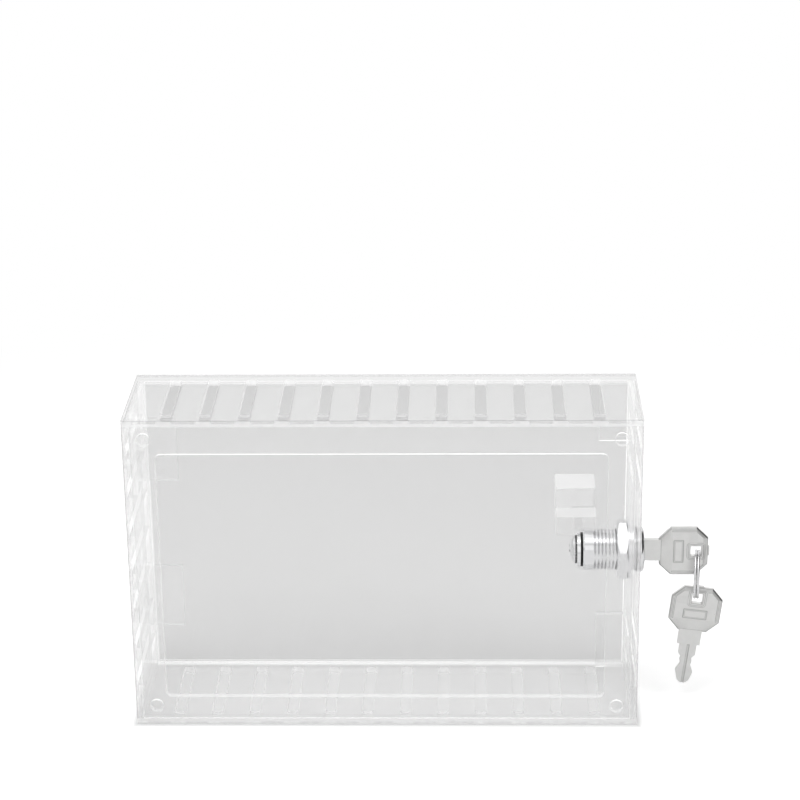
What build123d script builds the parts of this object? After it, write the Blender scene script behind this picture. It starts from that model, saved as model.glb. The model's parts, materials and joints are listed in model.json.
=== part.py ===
"""Clear lockable box that covers a wall thermostat.

Laser-cut plastic sheets are bonded into a shallow case around an open wall frame. A front door
turns on two pinned plastic hinges and is held by a keyed cam lock in the right-hand panel.

Frame, in millimetres: the origin is the middle of the wall face, at the centre of the four screw
holes. +X points to the lock side, +Y away from the wall to the door, +Z up.
"""
import os
from math import cos, radians, sin, sqrt, tan

from build123d import *

os.makedirs("parts", exist_ok=True)

# Case
WIDTH = 220.0             # outside, hinge side to lock side
HEIGHT = 144.0            # outside, bottom to top
DEPTH = 56.0              # wall face to the door's front face
SHEET = 3.0               # thickness of every flat panel
DOOR_GAP = 0.5            # between the door's edge and the panels around it
LEAF_PASS = 0.3           # the panels end this far behind the door's front face
CUTOUT_TOP = 15.5         # outside of the case to the wall frame's cut-out, seen from the wall
CUTOUT_BOTTOM = 13.5
CUTOUT_LEFT = 13.5
CUTOUT_RIGHT = 14.5
CUTOUT_CORNER_R = 2.5
SCREW_HOLE_R = 3.0
SCREW_INSET = 9.0         # outside of the case to a screw hole's centre

# Vent slots
VENT_WIDTH = 5.0
VENT_CORNER_R = 1.5
VENT_END_MARGIN = 6.5     # wall face or door face to the slot's end
TOP_VENT_PITCH = 16.7
TOP_VENT_MARGIN = 18.0    # outside of the case to the first slot's centre
HINGE_VENT_PITCH = 18.0
HINGE_VENT_MARGIN = 18.0
LOCK_VENT_PITCH = 16.0
LOCK_VENT_MARGIN = 17.0
LOCK_VENTS_PER_END = 2

# Stop blocks behind the door
STOP_WIDTH = 12.7
STOP_HEIGHT = 26.5
STOP_THICKNESS = 3.0
STOP_GAP = 0.2            # closed door to stop block

# Hinges
HINGE_HEIGHT = 30.0
HINGE_PLACE = 36.0        # outside of the case to a hinge's middle, along Z
LEAF_REACH = 16.0         # corner of the case to the leaf's free edge
LEAF_THICKNESS = 2.0
KNUCKLE_R = 3.1
KNUCKLE_COUNT = 4
KNUCKLE_GAP = 0.3
PIN_OFFSET = 5.0          # case corner to the pin's axis, along X and along Y
PIN_R = 1.25
PIN_CLEARANCE = 0.05      # radial, in the knuckles that turn
PIN_SEAT_CLEARANCE = 0.01  # radial, in the knuckles that hold the pin

# Lock body
BARREL_R = 9.25
BARREL_FLATS = 17.2       # across the two flats
BARREL_REACH = 23.5       # panel's outer face to the barrel's inner end
BARREL_TIP = 4.4          # plain length before the thread
THREAD_PITCH = 1.6
THREAD_DEPTH = 0.65
THREAD_FIT = 0.05         # radial, thread crest to nut, washer or panel hole
FLANGE_R = 10.0
FLANGE_THICKNESS = 3.2
FLANGE_ROUND = 1.8
WASHER_R = 13.0
WASHER_THICKNESS = 1.1
NUT_FLATS = 24.8
NUT_THICKNESS = 4.7
NUT_CHAMFER = 1.0
NUT_TURN = 16.8           # degrees, a corner above the wall side

# Lock plug and what it carries
PLUG_R = 5.6
PLUG_CLEARANCE = 0.05
PLUG_HEAD_R = 6.6
PLUG_HEAD_THICKNESS = 1.0
PLUG_RECESS = 0.2         # flange face to the plug's face
TAIL_SIDE = 7.0           # square tail through the washer and the cam
TAIL_CLEARANCE = 0.05
TAIL_SHORT = 0.2          # the tail ends this far inside the cam, so the screw clamps it
STOP_WASHER_R = 7.5
STOP_WASHER_THICKNESS = 1.1
CAM_HUB_R = 8.1
CAM_THICKNESS = 1.5
CAM_REACH = 14.5          # lock axis to the arm's tip
CAM_ARM_WIDTH = 6.0
CAM_REST_ANGLE = 115.0    # degrees from +Z towards the door, unlocked
CAM_LOCKED_ANGLE = 25.0   # degrees from +Z towards the door, locked
SCREW_R = 2.0
SCREW_CLEARANCE = 0.02
SCREW_LENGTH = 7.2
SCREW_HEAD_R = 6.0
SCREW_HEAD_HEIGHT = 2.5   # dome, above the rim
SCREW_RIM_R = 6.2
SCREW_RIM_THICKNESS = 0.8
RIM_NOTCHES = 26
RIM_NOTCH_R = 0.35
CROSS_WIDTH = 1.2
CROSS_LENGTH = 4.6
CROSS_DEPTH = 1.3

# Wafers inside the plug
WAFER_COUNT = 5
WAFER_PITCH = 2.6
WAFER_FIRST = 4.2         # flange face to the first wafer's middle
WAFER_THICKNESS = 1.2
WAFER_WIDTH = 6.0
WAFER_HALF_HEIGHT = 4.55
WAFER_CLEARANCE = 0.05
WAFER_WINDOW_HALF_WIDTH = 1.25
WAFER_WINDOW_HALF_HEIGHT = 3.9
EAR_REACH = 1.3           # the spring ear's reach beyond the wafer's side
EAR_HEIGHT = 0.8
EAR_TOP = 2.6
GROOVE_DEPTH = 1.2        # barrel grooves that the wafers spring into
SPRING_FLOOR = -2.6       # height of the floor under each spring
SPRING_R = 0.45
SPRING_WIRE_R = 0.12
SPRING_PITCH = 0.7

# Keys
KEY_THICKNESS = 2.2
KEY_SEAT_GAP = 0.2        # flange face to the key's shoulder
SHOULDER_HALF_WIDTH = 5.0
SHOULDER_LENGTH = 6.7
BLADE_HALF_WIDTH = 3.75
BLADE_LOBE_HALF_WIDTH = 3.8
BLADE_NECK_HALF_WIDTH = 2.35
BLADE_LENGTH = 26.1       # bow to tip
BLADE_ROOT = 1.0          # length of the shoulder's plain face that runs on into the bow
BLADE_GROOVE_WIDTH = 1.2
BLADE_GROOVE_DEPTH = 0.5
KEYWAY_CLEARANCE = 0.12
BOW_LENGTH = 21.3
BOW_HALF_WIDTH = 11.3
BOW_DROP = 0.55           # the bow's middle below the blade's
BOW_CORNER = 5.1          # length of a clipped corner along the key
BOW_END_HALF_WIDTH = 6.25  # half length of the bow's two short edges
BOW_EDGE_CHAMFER = 0.4
BOW_HOLE_START = 13.7     # shoulder end of the bow to the ring hole
BOW_HOLE_LENGTH = 4.7
BOW_HOLE_HEIGHT = 4.7
BOW_BAR_START = 6.3       # raised bar across the bow
BOW_BAR_WIDTH = 4.2
BOW_BAR_HALF_LENGTH = 5.2
BOW_BAR_RAISE = 0.2
NUB_LENGTH = 0.7
NUB_HALF_WIDTH = 2.25

# Split ring
RING_R = 10.25            # to the wire's centre
RING_WIRE_R = 0.6
RING_PITCH = 1.3
RING_START = 20.0         # degrees, where the wire begins, from the door side
RING_CROSS_START = 330.0  # degrees, where the wire steps over to its second coil
RING_CROSS_END = 380.0
RING_END = 690.0
RING_TURN = 5.9           # degrees, the ring's lean from square to the key
RING_PLACE = 3.2          # start of the ring hole to the middle of the ring
RING_REST_GAP = 0.5       # ring wire to the hole's edge
SPARE_TILT = 7.0          # degrees, the spare key's lean from plumb
SPARE_SHIFT = 0.7         # the spare key's hole hangs this far off the ring's middle, along X

# Catch block on the door
CATCH_WIDTH = 17.6
CATCH_TOP = 25.4          # above the lock axis
CATCH_STEP = 16.0         # above the lock axis, top of the deeper foot
CATCH_BODY_DEPTH = 16.5   # door to the upper part's wall-side face
CATCH_FOOT_DEPTH = 26.7   # door to the foot's wall-side face
CATCH_OVER_BARREL = 0.45  # gap above the barrel
PRONG_BOTTOM = 7.6        # above the lock axis, the foot's lower end beside the cam
CATCH_BEYOND_CAM = 9.2    # cam's inner face to the block's hinge-side face
LIP_THICKNESS = 2.3
POCKET_SIDE_GAP = 1.2     # cam to the pocket's side, along X
POCKET_ROOM = 0.7         # radial, arm tip to the pocket's roof

# Places worked out from the sizes above
HALF_W = WIDTH / 2
HALF_H = HEIGHT / 2
INNER_W = HALF_W - SHEET
INNER_H = HALF_H - SHEET
PANEL_DEPTH = DEPTH - LEAF_PASS
DOOR_BACK = DEPTH - SHEET
LOCK_Y = DEPTH / 2
FLANGE_FACE = HALF_W + FLANGE_THICKNESS
BARREL_END = HALF_W - BARREL_REACH
CAM_OUTER = BARREL_END - STOP_WASHER_THICKNESS
CAM_INNER = CAM_OUTER - CAM_THICKNESS
PLUG_FACE = FLANGE_FACE - PLUG_RECESS
KEY_BOW_X = FLANGE_FACE + KEY_SEAT_GAP + SHOULDER_LENGTH
KEYWAY_HALF_HEIGHT = BLADE_LOBE_HALF_WIDTH + KEYWAY_CLEARANCE
KEYWAY_END = KEY_BOW_X - BLADE_LENGTH - 5 * KEYWAY_CLEARANCE
PIN_X = -HALF_W - PIN_OFFSET
PIN_Y = DEPTH + PIN_OFFSET
RING_X = KEY_BOW_X + BOW_HOLE_START + RING_PLACE
RING_TOP_Z = -BOW_DROP - BOW_HOLE_HEIGHT / 2 + RING_WIRE_R + RING_REST_GAP


def block(x, y, z):
    """A box between two limits on each axis."""
    middle = Pos((x[0] + x[1]) / 2, (y[0] + y[1]) / 2, (z[0] + z[1]) / 2)
    return middle * Box(x[1] - x[0], y[1] - y[0], z[1] - z[0])


def rod(x, radius, y=LOCK_Y, z=0.0):
    """A cylinder along X between two limits, on the lock's axis unless placed elsewhere."""
    return Pos((x[0] + x[1]) / 2, y, z) * Rot(0, 90, 0) * Cylinder(radius, x[1] - x[0])


def turned(points):
    """A solid of revolution about the lock's axis, from (x, radius) points."""
    profile = make_face(Polyline(*[(x, r) for x, r in points], close=True))
    return Pos(0, LOCK_Y, 0) * revolve(profile, Axis.X, 360)


def across_lock(outline, x):
    """A flat outline, drawn as (y, z) from the lock's axis, given its thickness along X."""
    plane = Plane(origin=(x[0], LOCK_Y, 0), x_dir=(0, 1, 0), z_dir=(1, 0, 0))
    return extrude(plane * outline, x[1] - x[0])


def centres(half_length, margin, pitch):
    """Evenly pitched places, as many as fit between the margins, about zero."""
    count = int((half_length - margin) * 2 / pitch + 0.01) + 1
    return [(i - (count - 1) / 2) * pitch for i in range(count)]


def vent(thickness):
    """Cutter for one slot: long side on Y, through Z."""
    length = DEPTH - 2 * VENT_END_MARGIN
    outline = RectangleRounded(VENT_WIDTH, length, VENT_CORNER_R)
    return Pos(0, DEPTH / 2, -thickness) * extrude(outline, 2 * thickness)


def base_frame():
    """Ring of sheet against the wall, with a cut-out for the thermostat and four screw holes."""
    frame = block((-INNER_W, INNER_W), (0, SHEET), (-INNER_H, INNER_H))
    width = WIDTH - CUTOUT_LEFT - CUTOUT_RIGHT
    height = HEIGHT - CUTOUT_TOP - CUTOUT_BOTTOM
    middle = Pos((CUTOUT_LEFT - CUTOUT_RIGHT) / 2, (CUTOUT_BOTTOM - CUTOUT_TOP) / 2)
    outline = middle * RectangleRounded(width, height, CUTOUT_CORNER_R)
    frame -= Pos(0, SHEET / 2, 0) * Rot(90, 0, 0) * extrude(outline, SHEET, both=True)
    drill = Rot(90, 0, 0) * Cylinder(SCREW_HOLE_R, 4 * SHEET)
    for x in (SCREW_INSET - HALF_W, HALF_W - SCREW_INSET):
        for z in (SCREW_INSET - HALF_H, HALF_H - SCREW_INSET):
            frame -= Pos(x, 0, z) * drill
    return frame


def vented_cover(level):
    """Top or bottom sheet, lying over the ends of the side panels, from its lower face's level."""
    sheet = block((-HALF_W, HALF_W), (0, PANEL_DEPTH), (level, level + SHEET))
    for x in centres(HALF_W, TOP_VENT_MARGIN, TOP_VENT_PITCH):
        sheet -= Pos(x, 0, level + SHEET / 2) * vent(SHEET)
    return sheet


def side_panel(x, vent_places):
    """Side sheet between two x limits, slotted at the given heights."""
    sheet = block(x, (0, PANEL_DEPTH), (-INNER_H, INNER_H))
    for z in vent_places:
        sheet -= Pos((x[0] + x[1]) / 2, 0, z) * Rot(0, 90, 0) * vent(SHEET)
    return sheet


def left_panel():
    """Side sheet on the hinge side."""
    return side_panel((-HALF_W, -INNER_W), centres(HALF_H, HINGE_VENT_MARGIN, HINGE_VENT_PITCH))


def right_panel():
    """Side sheet on the lock side, with slots near its ends and the double-D lock hole."""
    first = HALF_H - LOCK_VENT_MARGIN
    upper = [first - i * LOCK_VENT_PITCH for i in range(LOCK_VENTS_PER_END)]
    sheet = side_panel((INNER_W, HALF_W), upper + [-z for z in upper])
    return sheet - barrel_shape((INNER_W - SHEET, HALF_W + SHEET), THREAD_FIT)


def stop_block(side):
    """Small plate in a lock-side corner, just behind the closed door. Side is 1 up, -1 down."""
    back = DOOR_BACK - STOP_GAP - STOP_THICKNESS
    z = sorted((side * INNER_H, side * (INNER_H - STOP_HEIGHT)))
    return block((INNER_W - STOP_WIDTH, INNER_W), (back, back + STOP_THICKNESS), z)


def knuckle_spans(first):
    """The z limits of every second knuckle, starting with knuckle number first."""
    pitch = HINGE_HEIGHT / KNUCKLE_COUNT
    low = [i * pitch - HINGE_HEIGHT / 2 for i in range(first, KNUCKLE_COUNT, 2)]
    return [(z + KNUCKLE_GAP / 2, z + pitch - KNUCKLE_GAP / 2) for z in low]


def hinge_leaf(first, bore_clearance):
    """One leaf about its pin on the z axis: the plate lies on the plane y = -PIN_OFFSET."""
    free_edge = PIN_OFFSET + LEAF_REACH
    face = LEAF_THICKNESS - PIN_OFFSET
    half = HINGE_HEIGHT / 2
    leaf = block((PIN_OFFSET, free_edge), (-PIN_OFFSET, face), (-half, half))
    web = make_face(Polyline(
        (0, -KNUCKLE_R), (PIN_OFFSET, -PIN_OFFSET), (PIN_OFFSET + LEAF_THICKNESS, -PIN_OFFSET),
        (PIN_OFFSET + LEAF_THICKNESS, face), (PIN_OFFSET, face),
        (KNUCKLE_R * cos(radians(20)), -KNUCKLE_R * sin(radians(20))), (0, 0), close=True))
    for low, high in knuckle_spans(first):
        leaf += Pos(0, 0, low) * extrude(web, high - low)
        leaf += Pos(0, 0, (low + high) / 2) * Cylinder(KNUCKLE_R, high - low)
    return leaf - Cylinder(PIN_R + bore_clearance, 2 * HINGE_HEIGHT)


def door_leaf(height):
    """Hinge leaf on the door's front face."""
    return Pos(PIN_X, PIN_Y, height) * hinge_leaf(0, PIN_CLEARANCE)


def case_leaf(height):
    """Hinge leaf on the left panel's outer face: the door leaf's twin, turned over."""
    turned_over = Rot(0, 0, -90) * mirror(hinge_leaf(1, PIN_SEAT_CLEARANCE), Plane.XZ)
    return Pos(PIN_X, PIN_Y, height) * turned_over


def hinge_pin(height):
    """Plain pin, as long as the hinge is high."""
    return Pos(PIN_X, PIN_Y, height) * Cylinder(PIN_R, HINGE_HEIGHT)


def barrel_shape(x, extra):
    """Plain double-D bar along the lock's axis, oversize by extra, to cut holes that fit it."""
    bar = rod(x, BARREL_R + extra)
    half = BARREL_FLATS / 2 + extra
    return bar & block(x, (LOCK_Y - half, LOCK_Y + half), (-2 * BARREL_R, 2 * BARREL_R))


def thread_points(start, end):
    """Crest and root points of ring grooves from start to end along X."""
    points = []
    count = int((end - start) / THREAD_PITCH)
    for i in range(count):
        x = start + i * THREAD_PITCH
        points += [(x, BARREL_R), (x + 0.4 * THREAD_PITCH, BARREL_R - THREAD_DEPTH),
                   (x + 0.5 * THREAD_PITCH, BARREL_R - THREAD_DEPTH), (x + 0.9 * THREAD_PITCH, BARREL_R)]
    return points


def lock_barrel():
    """Flanged lock body: grooved thread, two flats, stepped bore and two wafer grooves."""
    chamfer_size = THREAD_DEPTH
    outline = [(BARREL_END, 0), (BARREL_END, BARREL_R - chamfer_size), (BARREL_END + chamfer_size, BARREL_R)]
    outline += thread_points(BARREL_END + BARREL_TIP, INNER_W - WASHER_THICKNESS)
    outline += [(HALF_W, BARREL_R), (HALF_W, 0)]
    body = turned(outline)
    half = BARREL_FLATS / 2
    body &= block((BARREL_END, HALF_W), (LOCK_Y - half, LOCK_Y + half), (-2 * BARREL_R, 2 * BARREL_R))
    flange = rod((HALF_W, FLANGE_FACE), FLANGE_R)
    rim = flange.edges().filter_by(GeomType.CIRCLE).sort_by(Axis.X)[-1]
    body += fillet(rim, FLANGE_ROUND)
    body -= rod((BARREL_END - 1, FLANGE_FACE + 1), PLUG_R + PLUG_CLEARANCE)
    seat = PLUG_FACE - PLUG_HEAD_THICKNESS - PLUG_CLEARANCE
    body -= rod((seat, FLANGE_FACE + 1), PLUG_HEAD_R + PLUG_CLEARANCE)
    reach = PLUG_R + GROOVE_DEPTH
    first, last = wafer_places()[0], wafer_places()[-1]
    half_width = WAFER_WIDTH / 2 + 2 * WAFER_CLEARANCE
    groove = (last - WAFER_THICKNESS, first + WAFER_THICKNESS)
    return body - block(groove, (LOCK_Y - half_width, LOCK_Y + half_width), (-reach, reach))


def lock_nut():
    """Hexagon nut behind the washer, both faces chamfered round."""
    outer = INNER_W - WASHER_THICKNESS
    x = (outer - NUT_THICKNESS, outer)
    corner_r = NUT_FLATS / sqrt(3)
    hexagon = Rot(0, 0, NUT_TURN) * RegularPolygon(corner_r, 6)
    nut = across_lock(mirror(hexagon, Plane.YZ), x)
    run = NUT_CHAMFER * tan(radians(60))
    shape = [(x[0], 0), (x[0], corner_r - run), (x[0] + NUT_CHAMFER, corner_r),
             (x[1] - NUT_CHAMFER, corner_r), (x[1], corner_r - run), (x[1], 0)]
    return (nut & turned(shape)) - rod((x[0] - 1, x[1] + 1), BARREL_R + THREAD_FIT)


def lock_washer():
    """Flat washer between the nut and the panel."""
    x = (INNER_W - WASHER_THICKNESS, INNER_W)
    return rod(x, WASHER_R) - rod((x[0] - 1, x[1] + 1), BARREL_R + THREAD_FIT)


def wafer_places():
    """Middle of each wafer along X, from the flange inwards."""
    return [FLANGE_FACE - WAFER_FIRST - i * WAFER_PITCH for i in range(WAFER_COUNT)]


def lock_plug():
    """Turning core: head, keyway, wafer slots with spring pockets, and a square tapped tail."""
    plug = rod((BARREL_END, PLUG_FACE), PLUG_R)
    plug += rod((PLUG_FACE - PLUG_HEAD_THICKNESS, PLUG_FACE), PLUG_HEAD_R)
    half = TAIL_SIDE / 2
    tail_end = CAM_INNER + TAIL_SHORT
    plug += block((tail_end, BARREL_END), (LOCK_Y - half, LOCK_Y + half), (-half, half))
    plug -= rod((CAM_INNER - 1, CAM_INNER + SCREW_LENGTH + 0.5), SCREW_R + SCREW_CLEARANCE)
    keyway = KEY_THICKNESS / 2 + KEYWAY_CLEARANCE
    plug -= block((KEYWAY_END, FLANGE_FACE + 1), (LOCK_Y - keyway, LOCK_Y + keyway),
                  (-KEYWAY_HALF_HEIGHT, KEYWAY_HALF_HEIGHT))
    side = WAFER_WIDTH / 2 + WAFER_CLEARANCE
    room = WAFER_THICKNESS / 2 + WAFER_CLEARANCE
    ear = WAFER_WIDTH / 2 + EAR_REACH + WAFER_CLEARANCE
    for x in wafer_places():
        span = (x - room, x + room)
        plug -= block(span, (LOCK_Y - side, LOCK_Y + side), (-2 * PLUG_R, 2 * PLUG_R))
        plug -= block(span, (LOCK_Y, LOCK_Y + ear), (SPRING_FLOOR, EAR_TOP + WAFER_CLEARANCE))
    return plug


def lock_wafers():
    """Flat wafers, drawn flush with the plug by the key, each with a window and a spring ear."""
    half = WAFER_WIDTH / 2
    outline = Rectangle(WAFER_WIDTH, 2 * WAFER_HALF_HEIGHT)
    outline -= Rectangle(2 * WAFER_WINDOW_HALF_WIDTH, 2 * WAFER_WINDOW_HALF_HEIGHT)
    outline += Pos(half + EAR_REACH / 2 - EAR_HEIGHT / 4, EAR_TOP - EAR_HEIGHT / 2) * Rectangle(
        EAR_REACH + EAR_HEIGHT / 2, EAR_HEIGHT)
    places = wafer_places()
    t = WAFER_THICKNESS / 2
    return Compound([solid for x in places for solid in across_lock(outline, (x - t, x + t)).solids()])


def wafer_springs():
    """One small coil spring under each wafer's ear."""
    y = LOCK_Y + WAFER_WIDTH / 2 + EAR_REACH / 2 + WAFER_CLEARANCE
    low = SPRING_FLOOR + SPRING_WIRE_R + WAFER_CLEARANCE
    high = EAR_TOP - EAR_HEIGHT - SPRING_WIRE_R - WAFER_CLEARANCE
    path = Helix(SPRING_PITCH, high - low, SPRING_R)
    wire = Plane(origin=path @ 0, z_dir=path % 0) * Circle(SPRING_WIRE_R)
    coil = sweep(wire, path)
    return Compound([(Pos(x, y, low) * coil).solid() for x in wafer_places()])


def stop_washer():
    """Thin washer keyed to the plug's tail, between the barrel and the cam."""
    side = TAIL_SIDE + 2 * TAIL_CLEARANCE
    return across_lock(Circle(STOP_WASHER_R) - Rectangle(side, side), (CAM_OUTER, BARREL_END))


def lock_cam():
    """Flat cam: round hub, square hole and one arm, pointing past the catch when unlocked."""
    side = TAIL_SIDE + 2 * TAIL_CLEARANCE
    arm_length = CAM_REACH - CAM_ARM_WIDTH / 2
    arm = Pos(0, arm_length / 2) * Rectangle(CAM_ARM_WIDTH, arm_length)
    arm += Pos(0, arm_length) * Circle(CAM_ARM_WIDTH / 2)
    outline = Circle(CAM_HUB_R) + Rot(0, 0, -CAM_REST_ANGLE) * arm
    return across_lock(outline - Rectangle(side, side), (CAM_INNER, CAM_OUTER))


def cam_screw():
    """Domed cross-recess screw in the plug's tail, its notched rim against the cam."""
    base = CAM_INNER - SCREW_RIM_THICKNESS
    top = base - SCREW_HEAD_HEIGHT
    dome_r = (SCREW_HEAD_R ** 2 + SCREW_HEAD_HEIGHT ** 2) / (2 * SCREW_HEAD_HEIGHT)
    screw = Pos(top + dome_r, LOCK_Y, 0) * Sphere(dome_r) & rod((top, base), SCREW_HEAD_R)
    rim = Circle(SCREW_RIM_R)
    for place in PolarLocations(SCREW_RIM_R, RIM_NOTCHES):
        rim -= place * Circle(RIM_NOTCH_R)
    screw += across_lock(rim, (base, CAM_INNER))
    screw += rod((CAM_INNER, CAM_INNER + SCREW_LENGTH), SCREW_R)
    for size in ((CROSS_WIDTH, CROSS_LENGTH), (CROSS_LENGTH, CROSS_WIDTH)):
        screw -= across_lock(Rectangle(*size), (top - 1, top + CROSS_DEPTH))
    return screw


def blade_half_outline():
    """Upper edge from the bow to the tip: shoulder, double-sided cuts, wide lobe, round tip."""
    lobe = BLADE_LOBE_HALF_WIDTH
    neck = BLADE_NECK_HALF_WIDTH
    steps = [(-BLADE_ROOT, SHOULDER_HALF_WIDTH), (SHOULDER_LENGTH, SHOULDER_HALF_WIDTH),
             (SHOULDER_LENGTH, BLADE_HALF_WIDTH), (SHOULDER_LENGTH + 4.8, BLADE_HALF_WIDTH),
             (BLADE_LENGTH - 12.9, neck), (BLADE_LENGTH - 12.4, neck), (BLADE_LENGTH - 11.7, neck + 0.3),
             (BLADE_LENGTH - 10.7, neck + 0.3), (BLADE_LENGTH - 9.8, neck), (BLADE_LENGTH - 9.2, neck),
             (BLADE_LENGTH - 6.8, lobe - 0.3), (BLADE_LENGTH - 5.9, lobe), (BLADE_LENGTH - 4.8, lobe - 0.2),
             (BLADE_LENGTH - 2.8, 0.8 * lobe), (BLADE_LENGTH - 1.7, 0.7 * lobe),
             (BLADE_LENGTH - 0.7, 0.45 * lobe), (BLADE_LENGTH, 0.13 * lobe)]
    return [(-along, half_width) for along, half_width in steps]


def mirrored_outline(upper):
    """A closed face, symmetric about its long axis, from the points of its upper edge."""
    return make_face(Polyline(*upper, *[(x, -z) for x, z in reversed(upper)], close=True))


def bow():
    """The key's bow about its own middle line: clipped plate, nub, raised bar and ring hole."""
    face = KEY_THICKNESS / 2
    outline = mirrored_outline([(0, BOW_END_HALF_WIDTH), (BOW_CORNER, BOW_HALF_WIDTH),
                                (BOW_LENGTH - BOW_CORNER, BOW_HALF_WIDTH), (BOW_LENGTH, BOW_END_HALF_WIDTH)])
    plate = extrude(key_plane() * outline, KEY_THICKNESS)
    rims = [edge for edge in plate.edges() if abs(edge.center().Y) > 0.8 * face]
    plate = chamfer(rims, BOW_EDGE_CHAMFER)
    plate += block((BOW_LENGTH - 1, BOW_LENGTH + NUB_LENGTH), (-face / 2, face / 2),
                   (-NUB_HALF_WIDTH, NUB_HALF_WIDTH))
    raised = face + BOW_BAR_RAISE
    plate += block((BOW_BAR_START, BOW_BAR_START + BOW_BAR_WIDTH), (-raised, raised),
                   (-BOW_BAR_HALF_LENGTH, BOW_BAR_HALF_LENGTH))
    return plate - block((BOW_HOLE_START, BOW_HOLE_START + BOW_HOLE_LENGTH), (-2 * face, 2 * face),
                         (-BOW_HOLE_HEIGHT / 2, BOW_HOLE_HEIGHT / 2))


def key_plane():
    """Plane of the key's door-side face, its outlines drawn as (x, z)."""
    return Plane(origin=(0, KEY_THICKNESS / 2, 0), x_dir=(1, 0, 0), z_dir=(0, -1, 0))


def key():
    """A key lying in the XZ plane: bow from x = 0 to BOW_LENGTH, blade along -X on z = 0."""
    face = KEY_THICKNESS / 2
    plate = Pos(0, 0, -BOW_DROP) * bow()
    plate += extrude(key_plane() * mirrored_outline(blade_half_outline()), KEY_THICKNESS)
    floor = face - BLADE_GROOVE_DEPTH
    for y in ((-2 * face, -floor), (floor, 2 * face)):
        plate -= block((-BLADE_LENGTH - 1, -SHOULDER_LENGTH), y,
                       (-BLADE_GROOVE_WIDTH / 2, BLADE_GROOVE_WIDTH / 2))
    return plate


def inserted_key():
    """The key in the lock, its blade in the keyway and its shoulder just off the flange."""
    return Pos(KEY_BOW_X, LOCK_Y, 0) * key()


def ring_centre():
    """Centre of the split ring, which hangs from the inserted key's hole."""
    return Pos(RING_X, LOCK_Y, RING_TOP_Z - RING_R)


def ring_point(angle, x):
    """A point on the ring's wire, its angle in degrees from the door side."""
    return Vector(x, RING_R * cos(radians(angle)), RING_R * sin(radians(angle)))


def ring_arc(start, end, x):
    """Part of one coil, as a three-point arc."""
    return ThreePointArc(ring_point(start, x), ring_point((start + end) / 2, x), ring_point(end, x))


def key_ring():
    """Split ring: two flat coils side by side, joined by one short step."""
    half = RING_PITCH / 2
    first = ring_arc(RING_START, RING_CROSS_START, -half)
    second = ring_arc(RING_CROSS_END, RING_END, half)
    middle = ring_point((RING_CROSS_START + RING_CROSS_END) / 2, 0)
    step = Spline(first @ 1, middle, second @ 0, tangents=[first % 1, second % 0])
    path = Wire([first.edge(), step.edge(), second.edge()])
    section = Plane(origin=path @ 0, z_dir=path % 0) * Circle(RING_WIRE_R)
    return ring_centre() * Rot(0, 0, -RING_TURN) * sweep(section, path)


def spare_key():
    """The second key, hanging by its ring hole from the bottom of the ring."""
    hang = BOW_HOLE_START + BOW_HOLE_LENGTH - RING_WIRE_R - RING_REST_GAP
    bottom = Pos(RING_X + SPARE_SHIFT, LOCK_Y, RING_TOP_Z - 2 * RING_R)
    return bottom * Rot(0, SPARE_TILT - 90, 0) * Pos(-hang, 0, BOW_DROP) * key()


def door_panel():
    """Flat front sheet, inside the ends of the four panels."""
    half_w = INNER_W - DOOR_GAP
    half_h = INNER_H - DOOR_GAP
    return block((-half_w, half_w), (DOOR_BACK, DEPTH), (-half_h, half_h))


def catch_block():
    """Stepped block on the door. Its foot reaches past the lock and has a pocket, open below, that
    the cam's arm turns up into behind a lip. Beside the cam the foot hangs lower, as a prong."""
    low = BARREL_R + CATCH_OVER_BARREL
    x = (CAM_INNER - CATCH_BEYOND_CAM, CAM_INNER - CATCH_BEYOND_CAM + CATCH_WIDTH)
    body = block(x, (DOOR_BACK - CATCH_BODY_DEPTH, DOOR_BACK), (low, CATCH_TOP))
    body += block(x, (DOOR_BACK - CATCH_FOOT_DEPTH, DOOR_BACK), (low, CATCH_STEP))
    pocket_x = (CAM_INNER - POCKET_SIDE_GAP, CAM_OUTER + POCKET_SIDE_GAP)
    body += block((x[0], pocket_x[0]), (DOOR_BACK - CATCH_FOOT_DEPTH, DOOR_BACK), (PRONG_BOTTOM, low))
    lip_back = DOOR_BACK - CATCH_FOOT_DEPTH + LIP_THICKNESS
    sweep_room = rod(pocket_x, CAM_REACH + POCKET_ROOM)
    return body - (sweep_room & block(pocket_x, (lip_back, DOOR_BACK), (0, CATCH_STEP)))


HINGES = {"upper": HALF_H - HINGE_PLACE, "lower": HINGE_PLACE - HALF_H}

NODES = {
    "base_frame": base_frame(),
    "top_panel": vented_cover(INNER_H),
    "bottom_panel": vented_cover(-HALF_H),
    "left_panel": left_panel(),
    "right_panel": right_panel(),
    "upper_stop_block": stop_block(1),
    "lower_stop_block": stop_block(-1),
    "lock_barrel": lock_barrel(),
    "lock_nut": lock_nut(),
    "lock_washer": lock_washer(),
    "door_panel": door_panel(),
    "catch_block": catch_block(),
    "lock_plug": lock_plug(),
    "lock_wafers": lock_wafers(),
    "wafer_springs": wafer_springs(),
    "stop_washer": stop_washer(),
    "lock_cam": lock_cam(),
    "cam_screw": cam_screw(),
    "inserted_key": inserted_key(),
    "key_ring": key_ring(),
    "spare_key": spare_key(),
}
for place, height in HINGES.items():
    NODES[place + "_hinge_door_leaf"] = door_leaf(height)
    NODES[place + "_hinge_case_leaf"] = case_leaf(height)
    NODES[place + "_hinge_pin"] = hinge_pin(height)

for name, shape in NODES.items():
    export_step(shape, "parts/" + name + ".step")
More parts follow.
